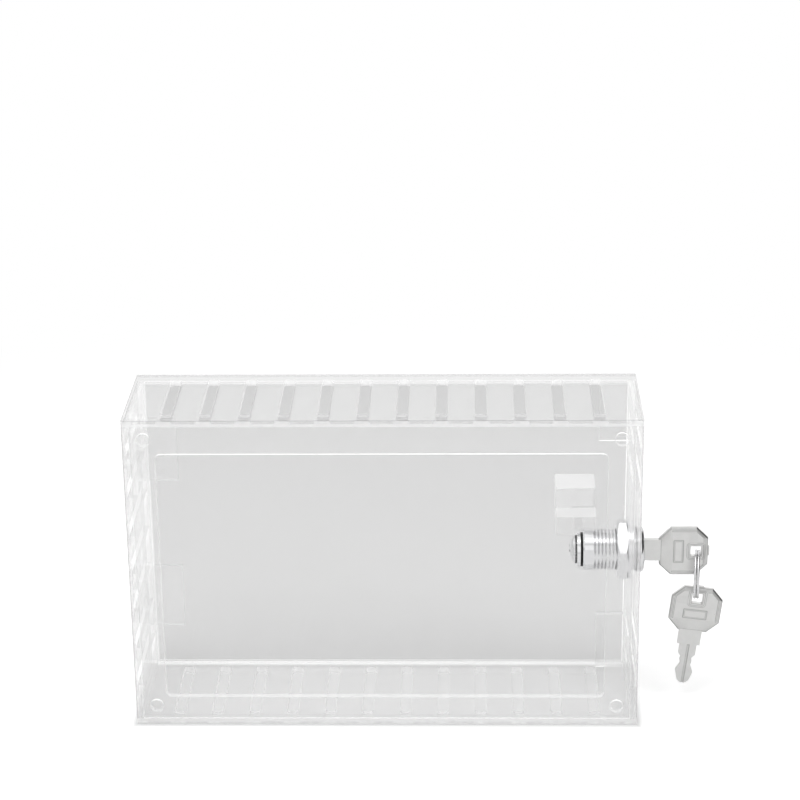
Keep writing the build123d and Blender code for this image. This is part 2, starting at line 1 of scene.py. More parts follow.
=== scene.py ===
# %% [markdown]
# # A clear lock box for a wall thermostat
#
# The real object is a shallow box of clear acrylic sheet. Flat panels are cut by laser and bonded edge to
# edge, so almost nothing of it has a colour of its own: what the eye reads is grey-white reflections on the
# broad faces, bright lines where a cut edge catches the light, and one solid thing, the plated cam lock with
# its two keys. The CAD model already holds every solid in its right place. This lesson gives those solids
# their finishes, adds the stamped relief on the keys, and lights the box like a small product on a white
# table.

# %% Load the fixed frame
import json
import math

import bpy
import numpy as np
from mathutils import Matrix, Vector


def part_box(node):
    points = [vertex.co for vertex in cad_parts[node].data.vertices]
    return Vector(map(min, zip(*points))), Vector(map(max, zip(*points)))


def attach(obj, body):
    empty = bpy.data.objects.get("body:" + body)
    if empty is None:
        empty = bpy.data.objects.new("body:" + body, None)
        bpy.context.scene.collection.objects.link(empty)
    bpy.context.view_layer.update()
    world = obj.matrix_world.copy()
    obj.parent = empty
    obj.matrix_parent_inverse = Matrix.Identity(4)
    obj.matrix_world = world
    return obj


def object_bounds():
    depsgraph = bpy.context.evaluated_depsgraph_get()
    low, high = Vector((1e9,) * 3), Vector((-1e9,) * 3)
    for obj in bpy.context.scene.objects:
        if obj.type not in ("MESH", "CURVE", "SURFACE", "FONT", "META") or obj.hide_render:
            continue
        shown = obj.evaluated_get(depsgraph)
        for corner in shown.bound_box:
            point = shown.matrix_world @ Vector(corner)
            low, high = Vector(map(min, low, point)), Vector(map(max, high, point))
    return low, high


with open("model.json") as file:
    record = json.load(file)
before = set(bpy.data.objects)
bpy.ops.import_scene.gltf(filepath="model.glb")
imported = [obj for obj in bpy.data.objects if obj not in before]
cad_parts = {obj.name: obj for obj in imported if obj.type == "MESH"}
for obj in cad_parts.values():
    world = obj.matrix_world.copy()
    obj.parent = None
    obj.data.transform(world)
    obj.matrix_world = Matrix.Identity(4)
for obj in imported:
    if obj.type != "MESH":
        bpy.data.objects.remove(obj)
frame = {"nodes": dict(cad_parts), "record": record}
cad_bounds = [list(corner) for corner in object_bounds()]
nodes = frame["nodes"]
print("CAD box, metres:", cad_bounds)

MM = 0.001
scene = bpy.context.scene

# %% [markdown]
# ## Camera
#
# A long lens from a metre away, a little above the box and square to it: the side lines then converge only
# slightly, as they do in a catalogue picture. The camera is placed first, because every finish below is
# judged through it. Three plain turns place it: up from level, round from square, and a hair of roll.

# %% Place the camera
IMAGE_SIDE = 800
FOCAL_PIXELS = 2426.8
SENSOR_WIDTH = 36.0
CAMERA_PLACE = Vector((35.9, -947.1, 443.5)) * MM
CAMERA_ABOVE_LEVEL = 0.3658  # radians, like the next two
CAMERA_ROUND = 0.0303
CAMERA_ROLL = -0.0130
CENTRE_COLUMN = 398.4  # pixels, like the row
CENTRE_ROW = 401.3
CLIP_START = 0.02
CLIP_END = 30.0

lens = bpy.data.cameras.new("catalogue_camera")
lens.sensor_width = SENSOR_WIDTH
lens.lens = FOCAL_PIXELS / IMAGE_SIDE * SENSOR_WIDTH
lens.shift_x = (IMAGE_SIDE / 2 - CENTRE_COLUMN) / IMAGE_SIDE
lens.shift_y = (CENTRE_ROW - IMAGE_SIDE / 2) / IMAGE_SIDE
lens.clip_start = CLIP_START
lens.clip_end = CLIP_END
camera = bpy.data.objects.new("catalogue_camera", lens)
scene.collection.objects.link(camera)
camera.matrix_world = (
    Matrix.Translation(CAMERA_PLACE)
    @ Matrix.Rotation(CAMERA_ROUND, 4, "Z")
    @ Matrix.Rotation(math.pi / 2 - CAMERA_ABOVE_LEVEL, 4, "X")
    @ Matrix.Rotation(CAMERA_ROLL, 4, "Z")
)
bpy.context.scene.camera = camera
print("focal length, mm:", round(lens.lens, 1))

# %% [markdown]
# ## Light paths through many clear faces
#
# A look through this box can cross a dozen faces before it meets anything solid. Cycles stops following a
# see-through path after eight faces and draws black there, so the limit is raised.

# %% Let sight pass through every sheet
CLEAR_FACES_DEEP = 48

scene.view_settings.view_transform = "Standard"
scene.cycles.transparent_max_bounces = CLEAR_FACES_DEEP
print("clear faces that sight may cross:", CLEAR_FACES_DEEP)

# %% [markdown]
# ## Small helpers for node trees
#
# Each material below is a handful of nodes, and these helpers keep them readable. Three make a node and fill
# its inputs, six do arithmetic on numbers and vectors, one mixes two shaders, and two start a material and
# name a grey. number, blend and mixed take plain numbers and sockets alike.


# %% Node helpers
def add_node(tree, kind, settings=None, **inputs):
    """A new node of the given kind, its properties from settings and its plain input values by name."""
    node = tree.nodes.new(kind)
    for name, value in (settings or {}).items():
        setattr(node, name, value)
    for name, value in inputs.items():
        node.inputs[name.replace("_", " ")].default_value = value
    return node


def join(tree, source, target):
    """Joins an output socket to an input socket."""
    tree.links.new(source, target)


def feed(tree, value, slot):
    """Sets an input slot to a plain number, or joins an output socket to it."""
    if isinstance(value, (int, float)):
        slot.default_value = value
    else:
        join(tree, value, slot)


def number(tree, operation, *values):
    """One step of arithmetic on the values."""
    made = add_node(tree, "ShaderNodeMath", {"operation": operation})
    for value, slot in zip(values, made.inputs):
        feed(tree, value, slot)
    return made.outputs[0]


def clamped(tree, value, low, high, to_low=0.0, to_high=1.0):
    """The value, mapped from low..high to to_low..to_high and held inside."""
    made = add_node(tree, "ShaderNodeMapRange", {"interpolation_type": "SMOOTHSTEP"})
    for name, limit in (("From Min", low), ("From Max", high), ("To Min", to_low), ("To Max", to_high)):
        made.inputs[name].default_value = limit
    join(tree, value, made.inputs["Value"])
    return made.outputs["Result"]


def blend(tree, share, first, second):
    """first where share is 0, second where it is 1."""
    made = add_node(tree, "ShaderNodeMix", {"data_type": "FLOAT"})
    for value, slot in zip((share, first, second), (0, 2, 3)):
        feed(tree, value, made.inputs[slot])
    return made.outputs[0]


def mixed(tree, share, first, second):
    """The first shader where share is 0, the second where it is 1."""
    made = add_node(tree, "ShaderNodeMixShader")
    for value, slot in zip((share, first, second), made.inputs):
        feed(tree, value, slot)
    return made.outputs[0]


def dot(tree, first, second):
    """The dot product of two vector sockets."""
    made = add_node(tree, "ShaderNodeVectorMath", {"operation": "DOT_PRODUCT"})
    join(tree, first, made.inputs[0])
    join(tree, second, made.inputs[1])
    return made.outputs["Value"]


def scaled(tree, vector, share):
    """A vector or colour socket times a value socket."""
    made = add_node(tree, "ShaderNodeVectorMath", {"operation": "SCALE"})
    join(tree, vector, made.inputs[0])
    join(tree, share, made.inputs["Scale"])
    return made.outputs[0]


def components(tree, vector):
    """The X, Y and Z of a vector socket, by name."""
    made = add_node(tree, "ShaderNodeSeparateXYZ")
    join(tree, vector, made.inputs[0])
    return made.outputs


def blank_material(name):
    """An empty node-based material and its output's surface socket."""
    material = bpy.data.materials.new(name)
    material.use_nodes = True
    material.node_tree.nodes.clear()
    output = material.node_tree.nodes.new("ShaderNodeOutputMaterial")
    return material, material.node_tree, output.inputs["Surface"]


def grey(value, alpha=1.0):
    """A neutral colour."""
    return (value, value, value, alpha)


# %% [markdown]
# ## Table and backdrop
#
# The box stands on a wide white table. Near the box the table is ordinary matt white, so that it holds the
# soft shadow that grounds the box. Further out it turns to even, unlit white for the camera, which is what a
# sweep of paper gives when it is well lit. One shader does both, mixed by distance from the box. Under the
# box itself the table carries a painted shadow, a shade darker in its colour, standing in for the little light
# that clear sheet stops at every face, and in mirrors it is greyer, so that plated metal gets its dark lower
# half.

# %% Lay the table
TABLE_RADIUS = 6.0
TABLE_CORNERS = 96
SHADOW_REACH = 0.30
SHADOW_FADE = 0.55
TABLE_DROP = 0.00005
PAINTED_CONTACT_SHADOW = 0.66
PAINTED_SHADOW_FADE = 4 * MM
TABLE_LIFT = 0.20
TABLE_IN_MIRRORS = 0.80

table_level = cad_bounds[0][2] - TABLE_DROP
bpy.ops.mesh.primitive_circle_add(vertices=TABLE_CORNERS, radius=TABLE_RADIUS, fill_type="NGON")
table = bpy.context.object
table.name = "table"
table.location.z = table_level

material, tree, surface = blank_material("white_table")
place = add_node(tree, "ShaderNodeTexCoord")
distance = add_node(tree, "ShaderNodeVectorMath", {"operation": "LENGTH"})
join(tree, place.outputs["Object"], distance.inputs[0])
far = clamped(tree, distance.outputs["Value"], SHADOW_REACH, SHADOW_FADE)
spot = components(tree, place.outputs["Object"])
outside = []
for axis, low, high in zip("XY", *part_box("top_panel")):
    off_middle = number(tree, "ABSOLUTE", number(tree, "SUBTRACT", spot[axis], (low + high) / 2))
    outside.append(number(tree, "MAXIMUM", number(tree, "SUBTRACT", off_middle, (high - low) / 2), 0.0))
# Painted shadow: the table's colour is darkened under the box's footprint and fades out just beyond it.
shade = clamped(tree, number(tree, "MAXIMUM", *outside), 0.0, PAINTED_SHADOW_FADE, PAINTED_CONTACT_SHADOW, 1.0)
rays = add_node(tree, "ShaderNodeLightPath")
paper_white = add_node(tree, "ShaderNodeEmission", Color=grey(1.0), Strength=1.0)
lit_white = add_node(tree, "ShaderNodeBsdfDiffuse")
join(tree, shade, lit_white.inputs["Color"])
lift = add_node(tree, "ShaderNodeEmission")
join(tree, shade, lift.inputs["Color"])
join(tree, number(tree, "MULTIPLY", rays.outputs["Is Camera Ray"], TABLE_LIFT), lift.inputs["Strength"])
near = add_node(tree, "ShaderNodeAddShader")
join(tree, lit_white.outputs[0], near.inputs[0])
join(tree, lift.outputs[0], near.inputs[1])
mirror_grey_and_slope_shade = add_node(tree, "ShaderNodeBsdfDiffuse", Color=grey(TABLE_IN_MIRRORS))
mirrored = mixed(tree, rays.outputs["Is Glossy Ray"], near.outputs[0], mirror_grey_and_slope_shade.outputs[0])
seen_far = number(tree, "MULTIPLY", far, rays.outputs["Is Camera Ray"])
join(tree, mixed(tree, seen_far, mirrored, paper_white.outputs[0]), surface)
table.data.materials.append(material)
print("table level, mm:", round(table_level / MM, 2))

# %% [markdown]
# ## Light
#
# White surroundings do most of the work: clear plastic shows only what it reflects, so it wants something
# even and bright all round. The camera sees pure white. Mirrors see a room that is bright above and greyer
# near the horizon, which gives the plated lock its dark and light bands. A dark card stands to the right, as a
# photographer puts one beside bright metal, and blackens the side of the lock's flange. Two large soft lamps
# add direction.

# %% Surround and lamps
ROOM_LIGHT = 0.62
ROOM_START = 0.48
ROOM_HORIZON = 0.64
ROOM_ABOVE = 1.0
CARD_EDGE = 0.50
CARD_FULL = 0.64
CARD_TONE = 0.03
ROOM_BANDS = ((0.53, 0.68), (0.57, 1.0), (0.84, 1.0), (0.87, 0.62), (0.90, 0.62), (0.93, 1.0))


def room_world():
    """White for the camera, an even dome for matt surfaces, and a banded dome for mirrors."""
    world = bpy.data.worlds.new("white_room")
    world.use_nodes = True
    tree = world.node_tree
    tree.nodes.clear()
    place = add_node(tree, "ShaderNodeTexCoord")
    towards = components(tree, place.outputs["Generated"])
    band = add_node(tree, "ShaderNodeValToRGB")
    stops = band.color_ramp.elements
    stops[0].position, stops[0].color = ROOM_START, grey(ROOM_HORIZON)
    stops[1].position, stops[1].color = 1.0, grey(ROOM_ABOVE)
    for position, value in ROOM_BANDS:
        stops.new(position).color = grey(value)
    join(tree, number(tree, "MULTIPLY_ADD", towards["Z"], 0.5, 0.5), band.inputs[0])
    even = add_node(tree, "ShaderNodeBackground", Color=grey(1.0), Strength=ROOM_LIGHT)
    banded = add_node(tree, "ShaderNodeBackground", Strength=1.0)
    join(tree, band.outputs["Color"], banded.inputs["Color"])
    card = clamped(tree, towards["X"], CARD_EDGE, CARD_FULL, 1.0, CARD_TONE)
    join(tree, card, banded.inputs["Strength"])
    white = add_node(tree, "ShaderNodeBackground", Color=grey(1.0), Strength=1.0)
    rays = add_node(tree, "ShaderNodeLightPath")
    for_mirrors = mixed(tree, rays.outputs["Is Glossy Ray"], even.outputs[0], banded.outputs[0])
    for_camera = mixed(tree, rays.outputs["Is Camera Ray"], for_mirrors, white.outputs[0])
    output = add_node(tree, "ShaderNodeOutputWorld")
    join(tree, for_camera, output.inputs["Surface"])
    return world


def soft_lamp(name, place, side, power, mirrored=True):
    """A square area lamp at place, in metres, turned towards the box. Mirrors show it if mirrored is set."""
    lamp = bpy.data.lights.new(name, "AREA")
    lamp.size = side
    lamp.energy = power
    holder = bpy.data.objects.new(name, lamp)
    holder.location = place
    holder.rotation_euler = (-Vector(place)).to_track_quat("-Z", "Y").to_euler()
    holder.visible_glossy = mirrored
    scene.collection.objects.link(holder)


scene.world = room_world()
soft_lamp("overhead_softbox", (-0.35, -0.25, 1.15), side=0.9, power=6.0)
soft_lamp("right_softbox", (1.0, -0.55, 0.75), side=0.7, power=3.5, mirrored=False)

# %% [markdown]
# ## Clear acrylic sheet
#
# A broad face of clear sheet does two things: it lets sight through, a little greyed, and it mirrors the
# room, weakly head on and strongly at a slant. A laser-cut edge is different. Light that is caught inside
# the sheet leaves there, so the edge is bright and milky, with a darker line where one looks right through.
# Seen from inside, through the sheet's own face, an edge looks shorter than it is, because the sheet bends
# the light: only a band of it shows, beside the face that one looks through.
# Real refraction would give all this too, but the panels here are bonded face to face, and touching glass
# solids confuse a ray tracer. Straight-through sight with a slant-dependent mirror is steadier, and reads
# the same on thin sheet. The edges' light is therefore painted: a painted bright line, a painted dark
# outline and a painted glow stand in for what refraction would carry.
#
# The shared group below sorts faces from edges. It takes the sheet's thickness axis, and compares it with
# the surface normal in the object's own axes, so it holds in every pose.


# %% Shared groups for clear sheet
# The edge tones and glows below are painted light: SKIN_TONE is a painted dark outline, and EDGE_GLOW and
# DOWNWARD_GLOW are a painted glow, brighter where an edge looks down.
FACES_ALONG_AXIS = 0.7
SKIN_TONE = 0.42
OUTLINE_DEPTH = 1.2 * MM
BENT_DEPTH = 0.36
BENT_FADE = 0.08
OUTER_HALF_FADE = (0.42, 0.50)
SKIN_FADE = (0.84, 0.92)
SLOT_FADE = (0.1, 0.5)
FLECK_SCALE = 420.0
FLECK_FADE = (0.35, 0.65)
FLECK_TONES = (0.90, 1.02)
SLOT_SOLID = 0.34
SLOT_INSIDE = 0.26
INSIDE_SOLID = 0.70
EDGE_GLOW = 0.16
DOWNWARD_GLOW = 0.26


def socket(group, name, kind, out=False, value=None):
    """Adds one named socket to a node group."""
    made = group.interface.new_socket(
        name=name, in_out="OUTPUT" if out else "INPUT", socket_type="NodeSocket" + kind
    )
    if value is not None:
        made.default_value = value
    return made


def vector_step(group, operation, *vectors):
    """One step of arithmetic on vector sockets."""
    made = add_node(group, "ShaderNodeVectorMath", {"operation": operation})
    for vector, slot in zip(vectors, made.inputs):
        join(group, vector, slot)
    return made.outputs["Vector"]


def on_outline(group, given):
    """1 on a sheet's own outline and 0 on the walls of its slots. The excess per axis is |place - centre| -
    half, with a metre taken off the thickness axis; the outline is where the largest one is near 0."""
    apart = vector_step(group, "SUBTRACT", given["Place"], given["Centre"])
    beyond = vector_step(group, "SUBTRACT", vector_step(group, "ABSOLUTE", apart), given["Half"])
    excess = components(group, vector_step(group, "SUBTRACT", beyond, given["Axis"]))
    largest = number(group, "MAXIMUM", number(group, "MAXIMUM", excess["X"], excess["Y"]), excess["Z"])
    return number(group, "GREATER_THAN", largest, -OUTLINE_DEPTH)


def sheet_parts_group():
    """Face is 1 on broad faces and 0 on cut edges. Edge Tone, Edge Glow and Edge Solid give a cut edge's
    painted brightness and how much of it is not see-through. Across the thickness an edge is a painted white
    line on the box's inner side, a paler half that changes with the slots beside it, and a thin painted dark
    outline at the outer skin; Edge Glow is a painted glow. Slot walls are plain light lines. Inner Tone and
    Inner Solid are for an edge seen from inside the sheet: the given tone at the outline, and a painted white
    reflection of the sky where it looks down. The sheet bends the light, so only the share BENT_DEPTH of such
    an edge shows, beside the skin that Near picks."""
    group = bpy.data.node_groups.new("sheet_parts", "ShaderNodeTree")
    for name in ("Place", "Normal", "Axis", "Run", "Centre", "Half"):
        socket(group, name, "Vector")
    for name in ("Inner", "Outer", "Pitch", "First", "Between", "Beside", "Line", "Pale", "Skin", "Near",
                 "Tone", "Under", "Slots"):
        socket(group, name, "Float")
    for name in ("Face", "Edge Tone", "Edge Glow", "Edge Solid", "Inner Tone", "Inner Solid"):
        socket(group, name, "Float", out=True)
    given = add_node(group, "NodeGroupInput").outputs
    result = add_node(group, "NodeGroupOutput").inputs
    facing = number(group, "ABSOLUTE", dot(group, given["Normal"], given["Axis"]))
    join(group, number(group, "GREATER_THAN", facing, FACES_ALONG_AXIS), result["Face"])
    depth = add_node(group, "ShaderNodeMapRange")
    join(group, dot(group, given["Place"], given["Axis"]), depth.inputs["Value"])
    join(group, given["Inner"], depth.inputs["From Min"])
    join(group, given["Outer"], depth.inputs["From Max"])
    depth = depth.outputs["Result"]
    along = number(group, "SUBTRACT", dot(group, given["Place"], given["Run"]), given["First"])
    turns = number(group, "MULTIPLY", number(group, "DIVIDE", along, given["Pitch"]), 2 * math.pi)
    beside = clamped(group, number(group, "COSINE", turns), *SLOT_FADE)
    flecks = add_node(group, "ShaderNodeTexNoise", Scale=FLECK_SCALE, Detail=1.0)
    join(group, given["Place"], flecks.inputs["Vector"])
    mottle = clamped(group, flecks.outputs[0], *FLECK_FADE, *FLECK_TONES)
    pale = number(group, "MULTIPLY", blend(group, beside, given["Between"], given["Beside"]), mottle)
    outer_half = clamped(group, depth, *OUTER_HALF_FADE)
    outline = on_outline(group, given)
    skin = number(group, "MULTIPLY", clamped(group, depth, *SKIN_FADE), outline)
    tone = blend(group, skin, blend(group, outer_half, 1.0, pale), SKIN_TONE)
    join(group, blend(group, outline, 1.0, tone), result["Edge Tone"])
    solid = blend(group, skin, blend(group, outer_half, given["Line"], given["Pale"]), given["Skin"])
    slot_solid = number(group, "MULTIPLY", given["Slots"], SLOT_SOLID)
    join(group, blend(group, outline, slot_solid, solid), result["Edge Solid"])
    outward_up = components(group, given["Normal"])["Z"]
    downward = number(group, "MAXIMUM", number(group, "MULTIPLY", outward_up, -1.0), 0.0)
    inside = blend(group, outline, number(group, "MULTIPLY", given["Slots"], SLOT_INSIDE), INSIDE_SOLID)
    below_skin = blend(group, given["Near"], depth, number(group, "SUBTRACT", 1.0, depth))
    shown = clamped(group, below_skin, BENT_DEPTH + BENT_FADE, BENT_DEPTH)
    inside = number(group, "MULTIPLY", blend(group, downward, inside, given["Under"]), shown)
    join(group, inside, result["Inner Solid"])
    inside = blend(group, outline, 1.0, given["Tone"])
    join(group, blend(group, downward, inside, 1.0), result["Inner Tone"])
    glow = number(group, "ADD", number(group, "MULTIPLY", downward, DOWNWARD_GLOW), EDGE_GLOW)
    join(group, glow, result["Edge Glow"])
    return group


sheet_parts = sheet_parts_group()
print("groups:", [g.name for g in bpy.data.node_groups])


# %% Clear sheet material
AXES = {"X": (1, 0, 0), "Y": (0, 1, 0), "Z": (0, 0, 1)}
MIRROR_HEAD_ON = 0.04
SLANT_MILK = 0.45
MILK_TONE = 0.97
CLEAR_GLOSS = 0.03
EDGE_ROUGHNESS = 0.4
SHEET_PASSES = 0.985


def slant_mirror(tree):
    """How much a clear face mirrors: m + (1 - m) x (1 - cos of the slant) to the fifth power, with m the share
    head on, from both sides."""
    weight = add_node(tree, "ShaderNodeLayerWeight", Blend=0.5)
    fifth = number(tree, "POWER", weight.outputs["Facing"], 5.0)
    return number(tree, "MULTIPLY_ADD", fifth, 1.0 - MIRROR_HEAD_ON, MIRROR_HEAD_ON)


def outward_normal(tree):
    """The outward direction n (1 - 2b). The shader's own normal n turns to face the ray, so it points inwards
    where b, the back face, is 1."""
    place = add_node(tree, "ShaderNodeTexCoord")
    inside = add_node(tree, "ShaderNodeNewGeometry").outputs["Backfacing"]
    return scaled(tree, place.outputs["Normal"], clamped(tree, inside, 0.0, 1.0, 1.0, -1.0))


def clear_sheet(name, style, node):
    """Clear sheet with the given look for a CAD node. Each face lets most of the light pass and adds a
    little haze, and at a slant it mirrors the room through a film of dust. The grey that it adds is for sight
    alone, so the door's deeper grey, a painted shade, throws no shadow. A cut edge gives back the light piped
    to it as a painted highlight and a painted glow."""
    material, tree, surface = blank_material(name)
    low, high = (Vector(corner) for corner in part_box(node))
    inner, outer = sheet_limits(node, style["axis"])
    place = add_node(tree, "ShaderNodeTexCoord")
    parts = add_node(tree, "ShaderNodeGroup", {"node_tree": sheet_parts})
    for key, value in (("Axis", AXES[style["axis"]]), ("Run", AXES[style["run"]]), ("Inner", inner),
                       ("Outer", outer), ("Centre", (low + high) / 2), ("Half", (high - low) / 2),
                       ("Pitch", style["pitch"] * MM), ("First", style["first"] * MM)):
        parts.inputs[key].default_value = value
    for key in ("Between", "Beside", "Line", "Pale", "Skin", "Near", "Tone", "Under", "Slots"):
        parts.inputs[key].default_value = style[key.lower()]
    join(tree, place.outputs["Object"], parts.inputs["Place"])
    join(tree, outward_normal(tree), parts.inputs["Normal"])
    rays = add_node(tree, "ShaderNodeLightPath")
    see = add_node(tree, "ShaderNodeBsdfTransparent")
    # What a face passes to the camera: the sheet's own slight grey, and on the door a deeper painted shade.
    sight_grey_and_painted_shade = blend(tree, rays.outputs["Is Camera Ray"], SHEET_PASSES, style["passes"])
    join(tree, sight_grey_and_painted_shade, see.inputs["Color"])
    milk = add_node(tree, "ShaderNodeBsdfDiffuse", Color=grey(MILK_TONE))
    body = mixed(tree, style["haze"], see.outputs[0], milk.outputs[0])
    mirror = add_node(tree, "ShaderNodeBsdfGlossy", Color=grey(1.0), Roughness=CLEAR_GLOSS)
    dusty = mixed(tree, SLANT_MILK, mirror.outputs[0], milk.outputs[0])
    face = mixed(tree, slant_mirror(tree), body, dusty)
    inside = add_node(tree, "ShaderNodeNewGeometry").outputs["Backfacing"]
    tone = blend(tree, inside, parts.outputs["Edge Tone"], parts.outputs["Inner Tone"])
    # A cut edge's painted highlight and outline tone, with a painted glow as its emission.
    edge_with_painted_glow = add_node(tree, "ShaderNodeBsdfPrincipled", Roughness=EDGE_ROUGHNESS)
    join(tree, parts.outputs["Edge Glow"], edge_with_painted_glow.inputs["Emission Strength"])
    join(tree, tone, edge_with_painted_glow.inputs["Base Color"])
    join(tree, tone, edge_with_painted_glow.inputs["Emission Color"])
    gap = add_node(tree, "ShaderNodeBsdfTransparent")
    join(tree, blend(tree, inside, style["clear"], style["within"]), gap.inputs["Color"])
    solid = blend(tree, inside, parts.outputs["Edge Solid"], parts.outputs["Inner Solid"])
    edge = mixed(tree, solid, gap.outputs[0], edge_with_painted_glow.outputs[0])
    join(tree, mixed(tree, parts.outputs["Face"], edge, face), surface)
    return material


BLOCK_PASSES = 0.965
BLOCK_GLOW = 0.04
BLOCK_ROUGHNESS = 0.3
TOP_SOLID = 0.42
UNDERSIDE_SOLID = 0.14


def glowing_white(tree, tone, roughness, glow):
    """White plastic of the given tone with a painted glow for piped light, and its output socket."""
    made = add_node(tree, "ShaderNodeBsdfPrincipled", Base_Color=grey(tone), Roughness=roughness,
                    Emission_Color=grey(1.0), Emission_Strength=glow)
    return made.outputs[0]


def clear_block(name):
    """A thick clear block: its level tops are painted lighter, with a painted glow, as they catch the light;
    its upright faces are see-through, and its undersides show faintly through it in painted light."""
    material, tree, surface = blank_material(name)
    outward_up = components(tree, outward_normal(tree))["Z"]
    top = number(tree, "GREATER_THAN", outward_up, FACES_ALONG_AXIS)
    under = number(tree, "LESS_THAN", outward_up, -FACES_ALONG_AXIS)
    solid = blend(tree, top, blend(tree, under, 0.0, UNDERSIDE_SOLID), TOP_SOLID)
    see = add_node(tree, "ShaderNodeBsdfTransparent", Color=grey(BLOCK_PASSES))
    white = glowing_white(tree, MILK_TONE, BLOCK_ROUGHNESS, BLOCK_GLOW)
    mirror = add_node(tree, "ShaderNodeBsdfGlossy", Color=grey(1.0), Roughness=CLEAR_GLOSS)
    body = mixed(tree, solid, see.outputs[0], white)
    join(tree, mixed(tree, slant_mirror(tree), body, mirror.outputs[0]), surface)
    return material


def paint(node, material):
    """Gives a CAD node's every slot the material."""
    for holder in nodes[node].material_slots:
        holder.material = material


def sheet_limits(node, axis):
    """The sheet's inner and outer face along its thickness axis: inner is the one nearer the box's middle."""
    index = "XYZ".index(axis)
    low, high = (corner[index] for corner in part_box(node))
    middle = (cad_bounds[0][index] + cad_bounds[1][index]) / 2
    return (low, high) if abs(low - middle) < abs(high - middle) else (high, low)


PLAIN_LOOK = {"passes": SHEET_PASSES, "haze": 0.0, "run": "X", "pitch": 1000.0, "first": 0.0,
              "between": 0.92, "beside": 0.92, "line": 0.30, "pale": 0.30, "skin": 0.40, "near": 0.0,
              "tone": 1.0, "clear": 0.97, "within": 0.97, "under": 0.90, "slots": 1.0}


def look(axis, **changes):
    """How one sheet looks: its thickness axis and the changes to the plain look. passes is what a broad face
    lets through to the camera and haze the milk in it. pitch and first place its slots along run, in
    millimetres, and between and beside are the edge's tones there. line, pale and skin are how solid the
    three bands of its cut edge are, and clear is what the rest of the edge lets pass, or within if it is seen
    from inside the sheet. near is 1 if the sheet is looked into from its outer side, tone is that of its
    outline seen from inside it, and under is how solid a downward wall is there. slots scales how solid the
    slot walls are."""
    return {"axis": axis, **PLAIN_LOOK, **changes}


SHEETS = {
    "base_frame": look("Y", haze=0.08, near=1.0),
    "top_panel": look("Z", haze=0.06, pitch=16.7, first=8.35, between=0.66, beside=0.95, line=0.28,
                      near=1.0, tone=0.66, within=0.80),
    "bottom_panel": look("Z", pitch=16.7, first=8.35, between=0.85, beside=0.97, line=0.30, pale=0.34,
                         skin=0.0),
    "left_panel": look("X", haze=0.03, run="Z", pitch=18.0, between=0.97, beside=0.78, line=0.20,
                       skin=0.6, clear=0.88, under=0.18, slots=0.4),
    "right_panel": look("X", haze=0.03, run="Z", pitch=16.0, first=8.0, between=0.95, beside=0.85,
                        line=0.16, skin=0.25, clear=0.90, under=0.18, slots=0.4),
    # The door's low passes is painted shade: the camera sees it greyer than the other sheets, standing in for
    # the shaded table seen through it.
    "door_panel": look("Y", passes=0.785),
    "upper_stop_block": look("Y", haze=0.04),
    "lower_stop_block": look("Y", haze=0.04),
}
for node, style in SHEETS.items():
    paint(node, clear_sheet("clear_" + node, style, node))
paint("catch_block", clear_block("clear_catch_block"))
print("sheets painted:", len(SHEETS))


# %% [markdown]
# ## Clear mouldings
#
# The hinges are moulded from clear plastic rather than cut from sheet, so they have no bright cut edges:
# only smooth walls that mirror the room at a slant, and rims painted milkier than the leaf's broad face,
# with a painted glow.

# %% Hinge plastic
RIM_LIMIT = 0.3
RIM_MILK = 0.60
RIM_TONE = 0.9
RIM_ROUGHNESS = 0.4
RIM_GLOW = 0.50
LEAF_GLOSS = 0.05


def clear_moulding(name, passes, axis):
    """See-through plastic for a leaf whose broad face looks along the axis. Only the rims are milky, with a
    painted glow, and only the rest mirrors."""
    material, tree, surface = blank_material(name)
    place = add_node(tree, "ShaderNodeTexCoord")
    facing = number(tree, "ABSOLUTE", components(tree, place.outputs["Normal"])[axis])
    rim = number(tree, "LESS_THAN", facing, RIM_LIMIT)
    see = add_node(tree, "ShaderNodeBsdfTransparent", Color=grey(passes))
    white = glowing_white(tree, RIM_TONE, RIM_ROUGHNESS, RIM_GLOW)
    mirror = add_node(tree, "ShaderNodeBsdfGlossy", Color=grey(1.0), Roughness=LEAF_GLOSS)
    body = mixed(tree, blend(tree, rim, 0.0, RIM_MILK), see.outputs[0], white)
    join(tree, mixed(tree, blend(tree, rim, slant_mirror(tree), 0.0), body, mirror.outputs[0]), surface)
    return material


leaf_plastic = {"door": clear_moulding("door_leaf_plastic", passes=0.945, axis="Y"),
                "case": clear_moulding("case_leaf_plastic", passes=0.965, axis="X")}
for node in nodes:
    if "hinge" in node:
        paint(node, leaf_plastic["door" if "door" in node else "case"])

# %% [markdown]
# ## Metal
#
# The lock is plated bright, the keys are a satin nickel, the ring is drawn wire and the wafers are brass.
# All are the same recipe with other numbers: a metal whose roughness wanders a little, because handling and
# plating are never even. Creases, thread roots and the gap behind the cam get painted shade, darker where
# little of the sky reaches them. On the keys every slope of the stamping gets painted shade, so the relief
# reads as fine lines. The washer behind the cam is near black, painted shade for the gap between cam and
# barrel, and a band of painted shade darkens the notched rim of the cam's screw.


# %% Metal finishes
WEAR_SCALE = 300.0
TARNISH = 0.12
CLEANEST = 1.05


